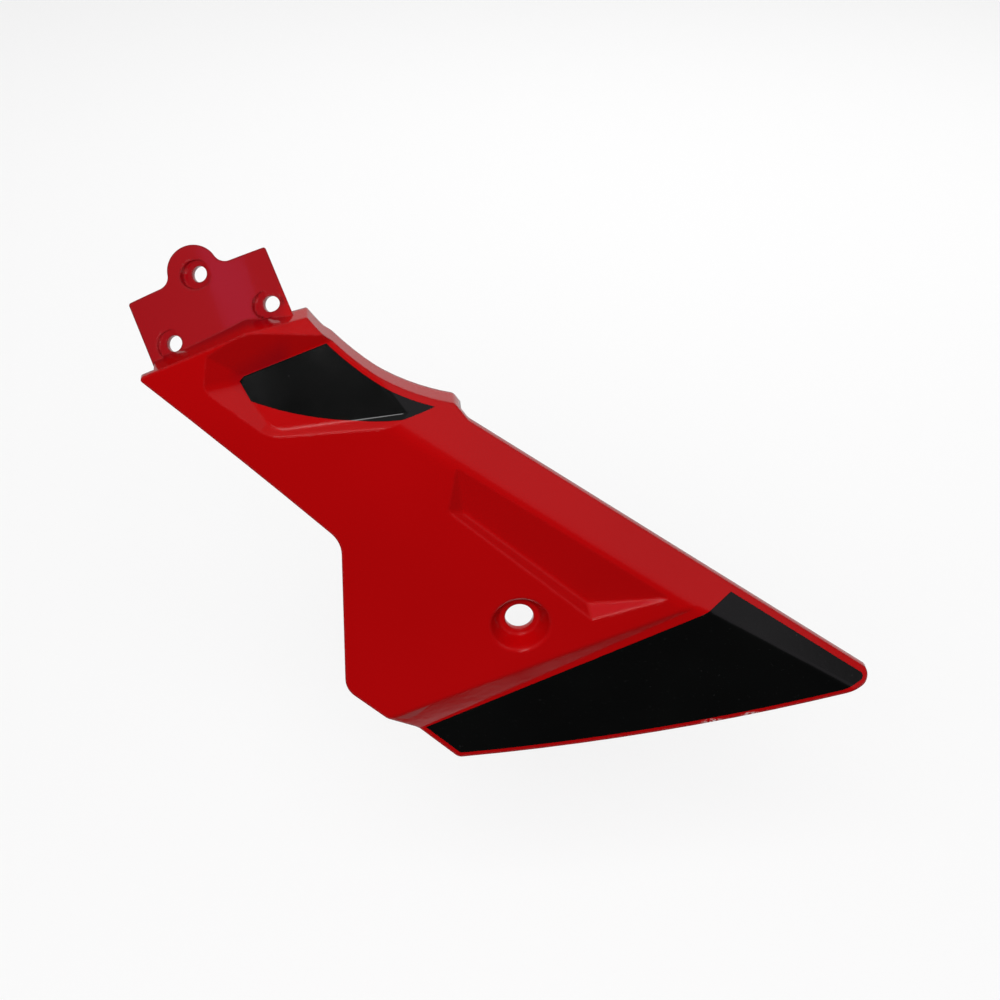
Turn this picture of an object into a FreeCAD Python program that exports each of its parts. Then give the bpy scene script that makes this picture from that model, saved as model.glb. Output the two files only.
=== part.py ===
import FreeCAD
import Part
import math
import os

V = FreeCAD.Vector

# Lower fairing panel. Sizes in mm, angles in degrees.
# While it is built, y is the depth behind the main field, x runs along the panel and z is up.
# At the end all is moved so that the frame starts at the main bore on its seat.

wall = 2.5
reach = 420.0

# Folds: each field gets deeper along its heading, measured in the main field from +x.
ridge_x, ridge_z = -26.0, 76.4
ridge_heading = 54.0
bevel_slope = 40.0
ridge_radius = 12.0

# Wedge pocket below the ridge
pocket_floor_slope = 12.0
pocket_left_x, pocket_left_z = -29.8, 54.6
pocket_left_heading, pocket_left_slope = -9.9, 30.0
pocket_low_heading, pocket_low_slope = 48.2, 60.0
pocket_end_x, pocket_end_z = 29.9, 1.2
pocket_end_heading, pocket_end_slope = 104.9, 43.0

# Sunk field along the lower edge and the ramp down to it
crest_x, crest_z = -37.7, -36.6
ramp_heading, ramp_slope = -68.9, 27.0
field_x, field_z, field_depth = -38.9, -52.0, 7.0
field_heading, field_slope = -98.3, 4.9

# Sunk field at the top
recess_x, recess_z, recess_depth = -112.2, 112.4, 8.0
recess_heading, recess_slope = 86.6, 17.0
brow_x, brow_z = -120.5, 129.9
brow_heading, brow_slope = -56.4, 25.1
recess_left_x, recess_left_z = -125.9, 114.7
recess_left_heading, recess_left_slope = -6.2, 29.5
recess_diag_x, recess_diag_z = -121.0, 107.9
recess_diag_heading, recess_diag_slope = 49.4, 42.6
recess_low_x, recess_low_z = -76.7, 92.2
recess_low_heading, recess_low_slope = 93.3, 54.4

# Main fixing dish
bore_radius = 6.0
dish_depth = 7.0
dish_face_radius = 12.5
dish_lean = 30.0

# Outline of the panel in the main field, with the radius of each rounded corner
tip_x, tip_z, tip_radius = -151.8, 118.6, 1.5
flank_mid_x, flank_mid_z = -114.2, 82.6
post_x, post_top_z, post_low_z = -73.5, 42.2, -28.4
post_top_radius, post_low_radius = 14.0, 11.0
step_x, step_z, step_radius = -56.8, -43.0, 10.0
step_low_x, step_low_z, step_low_radius = -44.0, -51.9, 10.0
toe_x, toe_z, toe_radius = -25.8, -69.6, 4.0
sole_mid_x, sole_mid_z = 56.3, -59.8
nose_x, nose_z, nose_radius = 155.0, -37.9, 3.8
edge_top_x, edge_top_z, edge_top_radius = -20.4, 89.8, 5.0
lug_x, lug_z, lug_radius = -26.0, 96.9, 4.0
scoop_mid_x, scoop_mid_z = -57.5, 112.6
scoop_x, scoop_z, scoop_radius = -84.4, 137.4, 1.5
shoulder_x, shoulder_z, shoulder_radius = -108.8, 136.5, 8.0

# Rounding of the folds and of the dish; a fold is rounded a little past the rim
spare_rim = 4.0
crest_radius, valley_radius = 4.0, 1.0
crease_radius = 6.0
pocket_rim_radius, pocket_floor_radius = 1.0, 1.5
pocket_corner_radius, pocket_end_radius = 3.0, 2.0
recess_floor_radius, recess_bend_radius, recess_corner_radius, recess_brow_radius = 1.5, 16.0, 10.0, 3.0
dish_rim_radius, dish_floor_radius = 1.5, 1.0

# Black films: the lower one ends at a line below the ramp, the upper one is cut to its sunk field
film, film_margin = 0.2, 2.3
lower_film_x, lower_film_z, lower_film_heading = -40.1, -53.2, -65.1
film_left_x, film_left_z = -112.0, 112.6
film_foot_x, film_foot_z = -107.8, 104.7
film_low_x, film_low_z = -78.5, 96.9
film_tip_x, film_tip_z = -31.6, 98.0
film_brow_x, film_brow_z = -110.2, 114.4
film_top_x, film_top_z = -64.5, 130.2

# Return flange along the scooped edge
flange_depth = 10.0

# Fixing tab behind the top edge; its holes are placed along and up the tab
tab_x, tab_z, tab_depth = -145.4, 119.9, 6.0
tab_heading, tab_fall, tab_lean = 19.8, 7.6, 38.0
tab_width, tab_height, tab_tuck = 59.0, 29.5, 7.0
tab_corner = 1.0
tab_bow = 160.0
lobe_along, lobe_up, lobe_radius, lobe_blend = 29.0, 31.5, 10.3, 5.0
tab_bore_radius = 3.25
tab_cup_radius, tab_cup_depth, tab_cup_turn, tab_cup_shift = 6.0, 1.6, 18.0, 1.0
tab_spot_radius = 4.6
tab_holes = ((30.3, 29.2), (51.9, 6.6), (10.7, 6.8))


def flat(x, z):
    return V(x, 0, z)


def towards(heading):
    return V(math.cos(math.radians(heading)), 0, math.sin(math.radians(heading)))


def plane(x, z, depth, heading, slope):
    normal = towards(heading) * math.sin(math.radians(slope)) - V(0, math.cos(math.radians(slope)), 0)
    return V(x, depth, z), normal


def front_of(face, inset):
    point, normal = face
    block = Part.makeBox(reach, reach, reach, V(-reach / 2, -reach / 2, 0))
    block.Placement = FreeCAD.Placement(point - normal * inset, FreeCAD.Rotation(V(0, 0, 1), normal))
    return block


def room(faces, inset):
    space = front_of(faces[0], inset)
    for face in faces[1:]:
        space = space.common(front_of(face, inset))
    return space


main_field = plane(0, 0, 0, 0, 0)
bevel = plane(ridge_x, ridge_z, 0, ridge_heading, bevel_slope)
pocket = (
    plane(ridge_x, ridge_z, 0, ridge_heading + 180, pocket_floor_slope),
    plane(pocket_left_x, pocket_left_z, 0, pocket_left_heading, pocket_left_slope),
    plane(pocket_left_x, pocket_left_z, 0, pocket_low_heading, pocket_low_slope),
    plane(pocket_end_x, pocket_end_z, 0, pocket_end_heading, pocket_end_slope),
)
lower_field = (
    plane(field_x, field_z, field_depth, field_heading, field_slope),
    plane(crest_x, crest_z, 0, ramp_heading, ramp_slope),
)
recess = (
    plane(recess_x, recess_z, recess_depth, recess_heading, recess_slope),
    plane(brow_x, brow_z, 0, brow_heading, brow_slope),
    plane(recess_left_x, recess_left_z, 0, recess_left_heading, recess_left_slope),
    plane(recess_diag_x, recess_diag_z, 0, recess_diag_heading, recess_diag_slope),
    plane(recess_low_x, recess_low_z, 0, recess_low_heading, recess_low_slope),
)


def dish(inset):
    lean = math.radians(dish_lean)
    floor_depth = dish_depth + inset
    face_radius = dish_face_radius + inset / math.cos(lean)
    mouth_radius = face_radius + wall * math.tan(lean)
    floor_radius = face_radius - floor_depth * math.tan(lean)
    return Part.makeCone(mouth_radius, floor_radius, wall + floor_depth, V(0, -wall, 0), V(0, 1, 0))


def on_face(edge, face, inset):
    point, normal = face
    return all(abs((v.Point - point).dot(normal) + inset) < 1e-4 for v in edge.Vertexes)


def folds(solid, pairs, inset):
    return [e for pair in pairs for e in solid.Edges if all(on_face(e, face, inset) for face in pair)]


def sharp_body(inset):
    solid = Part.makeBox(reach, reach / 4, reach, V(-reach / 2, inset, -reach / 2))
    solid = solid.cut(front_of(bevel, inset))
    solid = solid.makeFillet(ridge_radius - inset, folds(solid, [(main_field, bevel)], inset))
    for faces in (pocket, lower_field, recess):
        solid = solid.cut(room(faces, inset))
    return solid.cut(dish(inset))


def hollow_folds():
    pocket_floor, pocket_left, pocket_low, pocket_end = pocket
    recess_floor, brow, recess_left, recess_diag, recess_low = recess
    return (
        (pocket_corner_radius, [(pocket_left, pocket_low)]),
        (pocket_end_radius, [(pocket_low, pocket_end)]),
        (recess_bend_radius, [(recess_diag, recess_low)]),
        (recess_corner_radius, [(recess_left, recess_diag)]),
        (recess_brow_radius, [(recess_left, brow)]),
    )


def floor_folds():
    pocket_floor, pocket_left, pocket_low, pocket_end = pocket
    recess_floor, brow, recess_left, recess_diag, recess_low = recess
    recess_sides = (recess_diag, recess_low, recess_left, brow)
    pocket_sides = (pocket_low, pocket_end, pocket_left)
    return (
        (recess_floor_radius, [(recess_floor, side) for side in recess_sides]),
        (pocket_floor_radius, [(pocket_floor, side) for side in pocket_sides]),
        (valley_radius, [lower_field]),
    )


def creases():
    return (
        (crease_radius, [(recess[0], bevel)]),
        (crease_radius, [(lower_field[0], bevel)]),
    )


def brims():
    return (
        (crest_radius, [(main_field, lower_field[1])]),
        (pocket_rim_radius, [(main_field, side) for side in pocket[2:]]),
    )


def dish_ring(solid, depth):
    closed = [e for e in solid.Edges if not e.Degenerated and len(e.Vertexes) == 1]
    return [e for e in closed if abs(e.Vertexes[0].Y - depth) < 1e-4]


def body(inset):
    solid = sharp_body(inset).common(resized_column(spare_rim))
    for side, group in ((1, hollow_folds()), (-1, creases()), (1, floor_folds()), (-1, brims())):
        for radius, pairs in group:
            solid = solid.makeFillet(radius + side * inset, folds(solid, pairs, inset))
    solid = solid.makeFillet(dish_rim_radius - inset, dish_ring(solid, inset))
    return solid.makeFillet(dish_floor_radius + inset, dish_ring(solid, dish_depth + inset))


def line(a, b):
    return Part.LineSegment(a, b).toShape()


def arc(a, mid, b):
    return Part.Arc(a, mid, b).toShape()


def scooped_edge():
    return arc(flat(lug_x, lug_z), flat(scoop_mid_x, scoop_mid_z), flat(scoop_x, scoop_z))


def outline():
    tip, shoulder, scoop = flat(tip_x, tip_z), flat(shoulder_x, shoulder_z), flat(scoop_x, scoop_z)
    post_top, post_low = flat(post_x, post_top_z), flat(post_x, post_low_z)
    step, step_low, toe = flat(step_x, step_z), flat(step_low_x, step_low_z), flat(toe_x, toe_z)
    nose, edge_top, lug = flat(nose_x, nose_z), flat(edge_top_x, edge_top_z), flat(lug_x, lug_z)
    return Part.Wire([
        arc(tip, flat(flank_mid_x, flank_mid_z), post_top), line(post_top, post_low), line(post_low, step),
        line(step, step_low), line(step_low, toe), arc(toe, flat(sole_mid_x, sole_mid_z), nose),
        line(nose, edge_top), line(edge_top, lug), scooped_edge(),
        line(scoop, shoulder), line(shoulder, tip),
    ])


corners = (
    (tip_x, tip_z, tip_radius),
    (post_x, post_top_z, post_top_radius),
    (post_x, post_low_z, post_low_radius),
    (step_x, step_z, step_radius),
    (step_low_x, step_low_z, step_low_radius),
    (toe_x, toe_z, toe_radius),
    (nose_x, nose_z, nose_radius),
    (edge_top_x, edge_top_z, edge_top_radius),
    (lug_x, lug_z, lug_radius),
    (scoop_x, scoop_z, scoop_radius),
    (shoulder_x, shoulder_z, shoulder_radius),
)


def column():
    face = Part.Face(outline())
    face.translate(V(0, -wall, 0))
    solid = face.extrude(V(0, reach / 4, 0))
    for x, z, radius in corners:
        upright = [e for e in solid.Edges if all(abs(v.X - x) + abs(v.Z - z) < 1e-4 for v in e.Vertexes)]
        solid = solid.makeFillet(radius, upright)
    return solid


def section():
    return column().slice(V(0, 1, 0), 0)[0]


def resized_column(growth):
    face = Part.Face(section()).makeOffset2D(growth)
    face.translate(V(0, -wall, 0))
    return face.extrude(V(0, reach / 4, 0))


def outside(a, b, width):
    heading = math.degrees(math.atan2(b.z - a.z, b.x - a.x)) + 90
    return front_of(plane(a.x, a.z, 0, heading, 90), width)


def tab_axes():
    level = towards(tab_heading)
    fall, lean = math.radians(tab_fall), math.radians(tab_lean)
    along = level * math.cos(fall) + V(0, math.sin(fall), 0)
    rise = towards(tab_heading + 90) * math.cos(lean) + V(0, math.sin(lean), 0)
    out = along.cross(rise).normalize()
    return V(tab_x, tab_depth, tab_z), along, out.cross(along), out


def tab_outline(spot):
    left, right, low, high, r = 0, tab_width, -tab_tuck, tab_height, tab_corner
    bulge = r * (1 - math.sqrt(0.5))
    rise, gap = high + lobe_blend - lobe_up, lobe_radius + lobe_blend
    reach_out = math.sqrt(gap ** 2 - rise ** 2)
    part_way = lobe_radius / gap
    lean = math.atan2(rise, reach_out)
    turn = (math.pi / 2 - lean) / 2
    dip_u, dip_v = lobe_blend * math.sin(turn), lobe_blend * (1 - math.cos(turn))
    foot_left, foot_right = lobe_along - reach_out, lobe_along + reach_out
    neck_v = lobe_up + rise * part_way
    neck_left, neck_right = lobe_along - reach_out * part_way, lobe_along + reach_out * part_way
    return Part.Wire([
        line(spot(left, low), spot(right, low)), line(spot(right, low), spot(right, high - r)),
        arc(spot(right, high - r), spot(right - bulge, high - bulge), spot(right - r, high)),
        line(spot(right - r, high), spot(foot_right, high)),
        arc(spot(foot_right, high), spot(foot_right - dip_u, high + dip_v), spot(neck_right, neck_v)),
        arc(spot(neck_right, neck_v), spot(lobe_along, lobe_up + lobe_radius), spot(neck_left, neck_v)),
        arc(spot(neck_left, neck_v), spot(foot_left + dip_u, high + dip_v), spot(foot_left, high)),
        line(spot(foot_left, high), spot(left + r, high)),
        arc(spot(left + r, high), spot(left + bulge, high - bulge), spot(left, high - r)),
        line(spot(left, high - r), spot(left, low)),
    ])


def tab_spot(u, v):
    corner, along, up, out = tab_axes()
    return corner + along * u + up * v


def tab_seats():
    corner, along, up, out = tab_axes()
    turned = FreeCAD.Rotation(up, -tab_cup_turn).multVec(out)
    return [(tab_spot(u, v) - turned * tab_cup_depth, turned) for u, v in tab_holes]


def tab():
    corner, along, up, out = tab_axes()
    plate = Part.Face(tab_outline(tab_spot)).extrude(out * 8 * wall)
    plate.translate(out * -6 * wall)
    middle = tab_spot(tab_width / 2, -reach / 2) - out * tab_bow
    front, back = [Part.makeCylinder(tab_bow - inset, reach, middle, up) for inset in (0, wall)]
    shape = plate.common(front).cut(back)
    for seat, turned in tab_seats():
        cup = seat - turned.cross(along).cross(turned) * tab_cup_shift
        boss = Part.makeCylinder(tab_cup_radius + wall, 4 * wall, cup - turned * wall, turned)
        shape = shape.fuse(boss.common(front).common(plate))
        shape = shape.cut(Part.makeCylinder(tab_cup_radius, 6 * wall, cup, turned))
    return shape, back


def bores():
    drills = [Part.makeCylinder(bore_radius, 4 * wall, V(0, dish_depth - wall, 0), V(0, 1, 0))]
    for seat, turned in tab_seats():
        back = seat - turned * wall
        drills.append(Part.makeCylinder(tab_bore_radius, 8 * wall, seat - turned * 4 * wall, turned))
        drills.append(Part.makeCylinder(tab_spot_radius, 3 * wall, back, turned * -1))
    return drills


def panel():
    block = body(0)
    outer = block.common(column())
    tip, shoulder, scoop = flat(tip_x, tip_z), flat(shoulder_x, shoulder_z), flat(scoop_x, scoop_z)
    tab_plate, tab_back = tab()
    behind = block.translated(V(0, flange_depth, 0))
    bend = scooped_edge().Curve
    ring = Part.makeCylinder(bend.Radius + wall, reach / 2, bend.Center - V(0, wall, 0), V(0, 1, 0))
    flange = outer.common(ring.fuse(outside(shoulder, scoop, wall))).cut(behind)
    riser = outer.common(outside(tip, shoulder, wall)).cut(tab_back)
    riser = riser.common(front_of(plane(tab_x, tab_z, 0, 0, 90), 0))
    skin = outer.cut(sharp_body(wall))
    return skin.fuse([flange, riser, tab_plate.common(sharp_body(0))]).cut(bores())


def upper_cut():
    left, brow = flat(film_left_x, film_left_z), flat(film_brow_x, film_brow_z)
    foot, low = flat(film_foot_x, film_foot_z), flat(film_low_x, film_low_z)
    tip, top = flat(film_tip_x, film_tip_z), flat(film_top_x, film_top_z)
    edge = [line(brow, left), line(left, foot), arc(foot, low, tip), line(tip, top), line(top, brow)]
    cut = Part.Face(Part.Wire(edge))
    cut.translate(V(0, -wall, 0))
    return cut.extrude(V(0, reach / 4, 0))


def films():
    layer = body(-film).common(resized_column(-film_margin))
    below = front_of(plane(lower_film_x, lower_film_z, 0, lower_film_heading, 90), 0)
    return [layer.common(part).cut(body(0)) for part in (upper_cut(), below)]


os.makedirs("parts", exist_ok=True)
seat = V(0, -dish_depth, 0)
upper_decal, lower_decal = films()
for name, solid in (("panel", panel()), ("upper_decal", upper_decal), ("lower_decal", lower_decal)):
    solid.translate(seat)
    solid.exportStep("parts/%s.step" % name)
    print(name, solid.isValid(), len(solid.Solids), len(solid.Faces), solid.BoundBox)
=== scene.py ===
import bpy, bmesh, math
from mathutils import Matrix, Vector

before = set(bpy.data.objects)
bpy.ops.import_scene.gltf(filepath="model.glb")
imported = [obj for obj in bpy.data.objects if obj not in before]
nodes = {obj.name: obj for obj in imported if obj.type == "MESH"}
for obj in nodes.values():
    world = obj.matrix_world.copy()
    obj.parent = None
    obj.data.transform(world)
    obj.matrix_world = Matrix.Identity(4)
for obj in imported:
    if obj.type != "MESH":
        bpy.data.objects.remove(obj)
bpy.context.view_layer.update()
scene = bpy.context.scene
scene.view_settings.view_transform = "Standard"
print("frame loaded:", sorted(nodes))


# small helpers for node trees
def newMaterial(name):
    material = bpy.data.materials.new(name)
    material.use_nodes = True
    tree = material.node_tree
    shader = tree.nodes["Principled BSDF"]
    return material, tree, shader


def addNode(tree, kind, **settings):
    node = tree.nodes.new(kind)
    for key, value in settings.items():
        setattr(node, key, value)
    return node


def objectPlace(tree, scale=(1, 1, 1), turn=(0, 0, 0), shift=(0, 0, 0)):
    place = addNode(tree, "ShaderNodeTexCoord")
    mapping = addNode(tree, "ShaderNodeMapping")
    mapping.inputs["Location"].default_value = shift
    mapping.inputs["Rotation"].default_value = turn
    mapping.inputs["Scale"].default_value = scale
    tree.links.new(place.outputs["Object"], mapping.inputs["Vector"])
    return mapping.outputs["Vector"]


def noise(tree, vector, scale, detail=3.0, roughness=0.5):
    node = addNode(tree, "ShaderNodeTexNoise")
    node.inputs["Scale"].default_value = scale
    node.inputs["Detail"].default_value = detail
    node.inputs["Roughness"].default_value = roughness
    tree.links.new(vector, node.inputs["Vector"])
    return node.outputs["Fac"]


def remap(tree, value, low, high, toLow, toHigh):
    node = addNode(tree, "ShaderNodeMapRange", clamp=True)
    for key, number in (("From Min", low), ("From Max", high), ("To Min", toLow), ("To Max", toHigh)):
        node.inputs[key].default_value = number
    tree.links.new(value, node.inputs["Value"])
    return node.outputs["Result"]


def combine(tree, operation, one, two):
    node = addNode(tree, "ShaderNodeMath", operation=operation, use_clamp=True)
    for socket, value in zip(node.inputs, (one, two)):
        if isinstance(value, (int, float)):
            socket.default_value = value
        else:
            tree.links.new(value, socket)
    return node.outputs["Value"]


def mixColour(tree, factor, one, two):
    node = addNode(tree, "ShaderNodeMix", data_type="RGBA")
    tree.links.new(factor, node.inputs["Factor"])
    for socket, value in ((node.inputs[6], one), (node.inputs[7], two)):
        if isinstance(value, tuple):
            socket.default_value = (*value, 1)
        else:
            tree.links.new(value, socket)
    return node.outputs[2]


def bump(tree, shader, height, strength, distance, below=None):
    node = addNode(tree, "ShaderNodeBump")
    node.inputs["Strength"].default_value = strength
    node.inputs["Distance"].default_value = distance
    tree.links.new(height, node.inputs["Height"])
    if below is not None:
        tree.links.new(below, node.inputs["Normal"])
    tree.links.new(node.outputs["Normal"], shader.inputs["Normal"])


def softEdges(tree, radius):
    # normal that runs round each edge within a small radius, and the share by which it turns there
    bevelled = addNode(tree, "ShaderNodeBevel", samples=3)
    bevelled.inputs["Radius"].default_value = radius
    geometry = addNode(tree, "ShaderNodeNewGeometry")
    dot = addNode(tree, "ShaderNodeVectorMath", operation="DOT_PRODUCT")
    tree.links.new(bevelled.outputs["Normal"], dot.inputs[0])
    tree.links.new(geometry.outputs["Normal"], dot.inputs[1])
    return bevelled.outputs["Normal"], dot.outputs["Value"]


def spotMask(tree, centre, size):
    # soft patch around a point of the panel, 1 in its middle
    scale = tuple(1 / s for s in size)
    shift = tuple(-c / s for c, s in zip(centre, size))
    vector = objectPlace(tree, scale=scale, shift=shift)
    length = addNode(tree, "ShaderNodeVectorMath", operation="LENGTH")
    tree.links.new(vector, length.inputs[0])
    return remap(tree, length.outputs["Value"], 0.35, 1.0, 1, 0)


def triangleMask(tree, place, points, soft):
    # 1 within a triangle seen from the front, given by its corners' x and z against the clock
    inside = None
    for (ax, az), (bx, bz) in zip(points, points[1:] + points[:1]):
        side = Vector((az - bz, 0, bx - ax)).normalized()
        dot = addNode(tree, "ShaderNodeVectorMath", operation="DOT_PRODUCT")
        tree.links.new(place, dot.inputs[0])
        dot.inputs[1].default_value = side
        start = side.dot(Vector((ax, 0, az)))
        half = remap(tree, dot.outputs["Value"], start - soft, start + soft, 0, 1)
        inside = half if inside is None else combine(tree, "MULTIPLY", inside, half)
    return inside


# red lacquered plastic
shellLook = {
    "red": (0.405, 0.0008, 0.0016),
    "deepRed": (0.370, 0.0006, 0.0012),
    "tabShadeRed": (0.27, 0.0010, 0.0040),
    "wornRed": (0.52, 0.045, 0.050),
    "paleMark": (0.80, 0.66, 0.66),
    "roughness": (0.08, 0.16),
    "specular": 0.30,
    "soft": 0.0016,
    "facetSheenRed": (0.34, 0.046, 0.046),
    "facetSheen": ((-0.0529, -0.0442), (-0.0455, -0.0460), (-0.0383, -0.0380)),
    "paleMarks": (
        ((0.0840, -0.0015, -0.0552), (0.0060, 0.006, 0.0022)),
        ((0.1010, -0.0022, -0.0518), (0.0060, 0.006, 0.0018)),
    ),
}


def shellMaterial(look):
    material, tree, shader = newMaterial("redShell")
    place = objectPlace(tree)
    cloud = remap(tree, noise(tree, place, 9.0, 2.0), 0.35, 0.65, 0, 1)
    colour = mixColour(tree, cloud, look["deepRed"], look["red"])
    parts = addNode(tree, "ShaderNodeSeparateXYZ")
    tree.links.new(place, parts.inputs["Vector"])
    # painted shade: the tab at the left end is drawn in a darker red than the rest of the shell, standing
    # in for the shade it sits in
    leftEnd = remap(tree, parts.outputs["X"], -0.096, -0.090, 1, 0)
    tabShadeMask = combine(tree, "MULTIPLY", leftEnd, remap(tree, parts.outputs["Y"], -0.002, 0.004, 0, 1))
    colour = mixColour(tree, tabShadeMask, colour, look["tabShadeRed"])
    grain = noise(tree, place, 260.0, 4.0, 0.6)
    rounded, turn = softEdges(tree, look["soft"])
    worn = remap(tree, turn, 0.80, 0.97, 1, 0)
    edge = combine(tree, "MULTIPLY", worn, remap(tree, grain, 0.40, 0.62, 0.10, 0.45))
    colour = mixColour(tree, edge, colour, look["wornRed"])
    # painted highlight: a small triangle at the left end of the lower ramp, on the outer face only, is
    # drawn in a lighter pinkish red, standing in for light caught by a facet there
    outerFace = remap(tree, parts.outputs["Y"], -0.0048, -0.0044, 0.85, 0)
    facetSheen = combine(tree, "MULTIPLY", triangleMask(tree, place, look["facetSheen"], 0.0003), outerFace)
    colour = mixColour(tree, facetSheen, colour, look["facetSheenRed"])
    # pale pinkish-white patches at two points on the bottom rim, broken up by fine noise
    broken = remap(tree, noise(tree, place, 620.0, 5.0, 0.7), 0.46, 0.56, 0, 1)
    for centre, size in look["paleMarks"]:
        patch = combine(tree, "MULTIPLY", spotMask(tree, centre, size), broken)
        colour = mixColour(tree, patch, colour, look["paleMark"])
    tree.links.new(colour, shader.inputs["Base Color"])
    smear = noise(tree, objectPlace(tree, scale=(1, 1, 2.4), turn=(0, 0.6, 0)), 34.0, 4.0, 0.6)
    tree.links.new(remap(tree, smear, 0.3, 0.7, *look["roughness"]), shader.inputs["Roughness"])
    shader.inputs["Specular IOR Level"].default_value = look["specular"]
    shader.inputs["Coat Weight"].default_value = 0.15
    shader.inputs["Coat Roughness"].default_value = 0.03
    peel = noise(tree, place, 420.0, 2.0)
    bump(tree, shader, peel, 0.06, 0.0004, rounded)
    return material


# black film of the two decals
filmLook = {
    "black": (0.0006, 0.0007, 0.0007),
    "haze": (0.0016, 0.0018, 0.0017),
    "roughness": (0.10, 0.17),
    "specular": 0.50,
}


def filmMaterial(look):
    material, tree, shader = newMaterial("blackFilm")
    place = objectPlace(tree)
    cloud = remap(tree, noise(tree, place, 14.0, 3.0), 0.4, 0.7, 0, 1)
    dust = remap(tree, noise(tree, place, 900.0, 2.0), 0.70, 0.78, 0, 0.5)
    colour = mixColour(tree, cloud, look["black"], look["haze"])
    colour = mixColour(tree, dust, colour, (0.03, 0.03, 0.03))
    tree.links.new(colour, shader.inputs["Base Color"])
    smear = noise(tree, place, 40.0, 4.0)
    tree.links.new(remap(tree, smear, 0.3, 0.7, *look["roughness"]), shader.inputs["Roughness"])
    shader.inputs["Specular IOR Level"].default_value = look["specular"]
    bump(tree, shader, noise(tree, place, 300.0, 2.0), 0.04, 0.0003)
    return material


def dress(name, material):
    slots = nodes[name].data.materials
    slots.clear()
    slots.append(material)


dress("panel", shellMaterial(shellLook))
film = filmMaterial(filmLook)
dress("upper_decal", film)
dress("lower_decal", film)
print("materials on", len(nodes), "nodes")


# pale paper that lies under and behind the panel and curves up at the back
sweepLook = {
    "colour": (0.85, 0.85, 0.85),
    "glow": 0.70,
    "profile": ((-0.02, -0.26), (1.9, -0.26), (2.3, -0.14), (2.55, 0.14), (2.65, 0.6), (2.7, 1.9)),
    "half": 2.6,
}


def sweepMaterial(look):
    material, tree, shader = newMaterial("palePaper")
    shader.inputs["Base Color"].default_value = (*look["colour"], 1)
    shader.inputs["Roughness"].default_value = 0.9
    shader.inputs["Specular IOR Level"].default_value = 0.0
    glow = addNode(tree, "ShaderNodeEmission")
    path = addNode(tree, "ShaderNodeLightPath")
    seen = combine(tree, "ADD", path.outputs["Is Camera Ray"], path.outputs["Is Glossy Ray"])
    seen = combine(tree, "ADD", seen, path.outputs["Is Transmission Ray"])
    blend = addNode(tree, "ShaderNodeMixShader")
    tree.links.new(combine(tree, "MULTIPLY", seen, look["glow"]), blend.inputs["Fac"])
    tree.links.new(shader.outputs["BSDF"], blend.inputs[1])
    tree.links.new(glow.outputs["Emission"], blend.inputs[2])
    tree.links.new(blend.outputs["Shader"], tree.nodes["Material Output"].inputs["Surface"])
    return material


def sweep(look):
    mesh = bmesh.new()
    line = [mesh.verts.new((-look["half"], y, z)) for y, z in look["profile"]]
    edges = [mesh.edges.new(pair) for pair in zip(line, line[1:])]
    wide = bmesh.ops.extrude_edge_only(mesh, edges=edges)["geom"]
    far = [v for v in wide if isinstance(v, bmesh.types.BMVert)]
    bmesh.ops.translate(mesh, vec=(2 * look["half"], 0, 0), verts=far)
    bmesh.ops.recalc_face_normals(mesh, faces=mesh.faces)
    for face in mesh.faces:
        face.smooth = True
    data = bpy.data.meshes.new("floorSweep")
    mesh.to_mesh(data)
    mesh.free()
    piece = bpy.data.objects.new("floorSweep", data)
    scene.collection.objects.link(piece)
    data.materials.append(sweepMaterial(look))


sweep(sweepLook)
print("floor laid")


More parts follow.
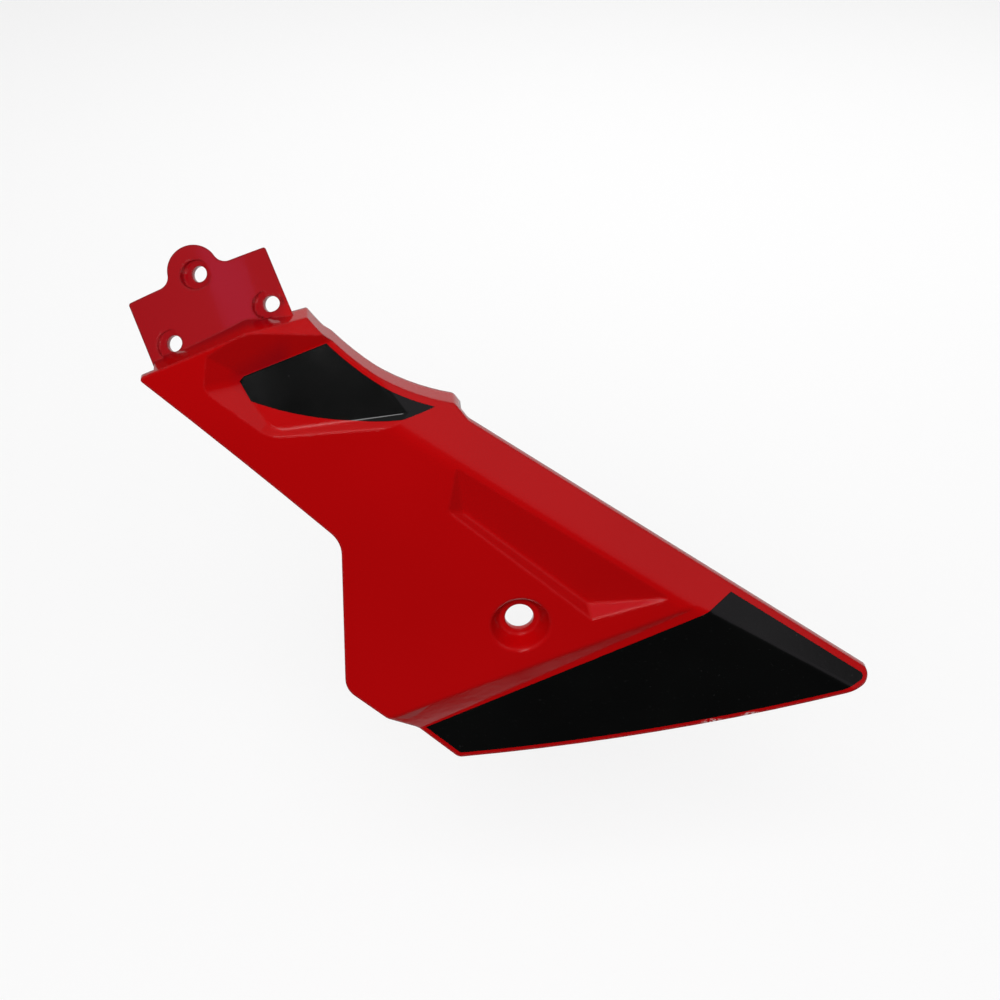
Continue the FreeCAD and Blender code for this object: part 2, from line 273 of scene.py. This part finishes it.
# soft studio light: a pale sky that darkens below the horizon, and softboxes
def studioWorld():
    world = bpy.data.worlds.new("studio")
    world.use_nodes = True
    scene.world = world
    tree = world.node_tree
    place = addNode(tree, "ShaderNodeTexCoord")
    parts = addNode(tree, "ShaderNodeSeparateXYZ")
    tree.links.new(place.outputs["Generated"], parts.inputs["Vector"])
    sky = addNode(tree, "ShaderNodeMapRange", clamp=True, interpolation_type="SMOOTHSTEP")
    for key, number in (("From Min", -0.10), ("From Max", 0.9), ("To Min", 0.04), ("To Max", 0.28)):
        sky.inputs[key].default_value = number
    tree.links.new(parts.outputs["Z"], sky.inputs["Value"])
    background = tree.nodes["Background"]
    tree.links.new(sky.outputs["Result"], background.inputs["Strength"])
    background.inputs["Color"].default_value = (1, 1, 1, 1)


lamps = {
    "frontBox": {"from": (-0.19, -1.38, 0.97), "size": 0.7, "watts": 26.0, "mirrored": False},
    "backBox": {"from": (0.30, 1.40, 0.90), "size": 0.9, "watts": 16.0, "mirrored": False},
    "sparkBox": {"from": (-0.12, -1.62, 0.80), "size": 0.5, "watts": 5.0, "mirrored": True},
    "rightBox": {"from": (1.05, -0.95, 0.62), "size": 0.8, "watts": 0.5, "mirrored": True,
                 "colour": (1, 0.9, 1)},
    "bandBox": {"from": (-0.25, -0.67, 1.13), "size": 0.22, "watts": 0.10, "mirrored": True,
                "colour": (1, 0.3, 0.8)},
}


def softbox(name, look):
    data = bpy.data.lights.new(name, "AREA")
    data.shape = "SQUARE"
    data.size = look["size"]
    data.energy = look["watts"]
    data.color = look.get("colour", (1, 1, 1))
    lamp = bpy.data.objects.new(name, data)
    scene.collection.objects.link(lamp)
    lamp.location = look["from"]
    lamp.visible_glossy = look["mirrored"]
    aim = Vector((0.0, 0.0, 0.04)) - lamp.location
    lamp.rotation_euler = aim.to_track_quat("-Z", "Y").to_euler()


studioWorld()
for name, look in lamps.items():
    softbox(name, look)
print("light from", len(lamps), "softboxes")


# camera at the photograph's angle
view = {"eye": (-0.08071, -1.03900, 0.60935), "target": (-0.00681, 0.01799, 0.04598), "lens": 103.68}
cameraData = bpy.data.cameras.new("photoCamera")
cameraData.lens = view["lens"]
cameraData.sensor_width = 36
cameraData.clip_end = 50
camera = bpy.data.objects.new("photoCamera", cameraData)
scene.collection.objects.link(camera)
camera.location = view["eye"]
camera.rotation_euler = (Vector(view["target"]) - Vector(view["eye"])).to_track_quat("-Z", "Y").to_euler()
scene.camera = camera

print("scene ready")
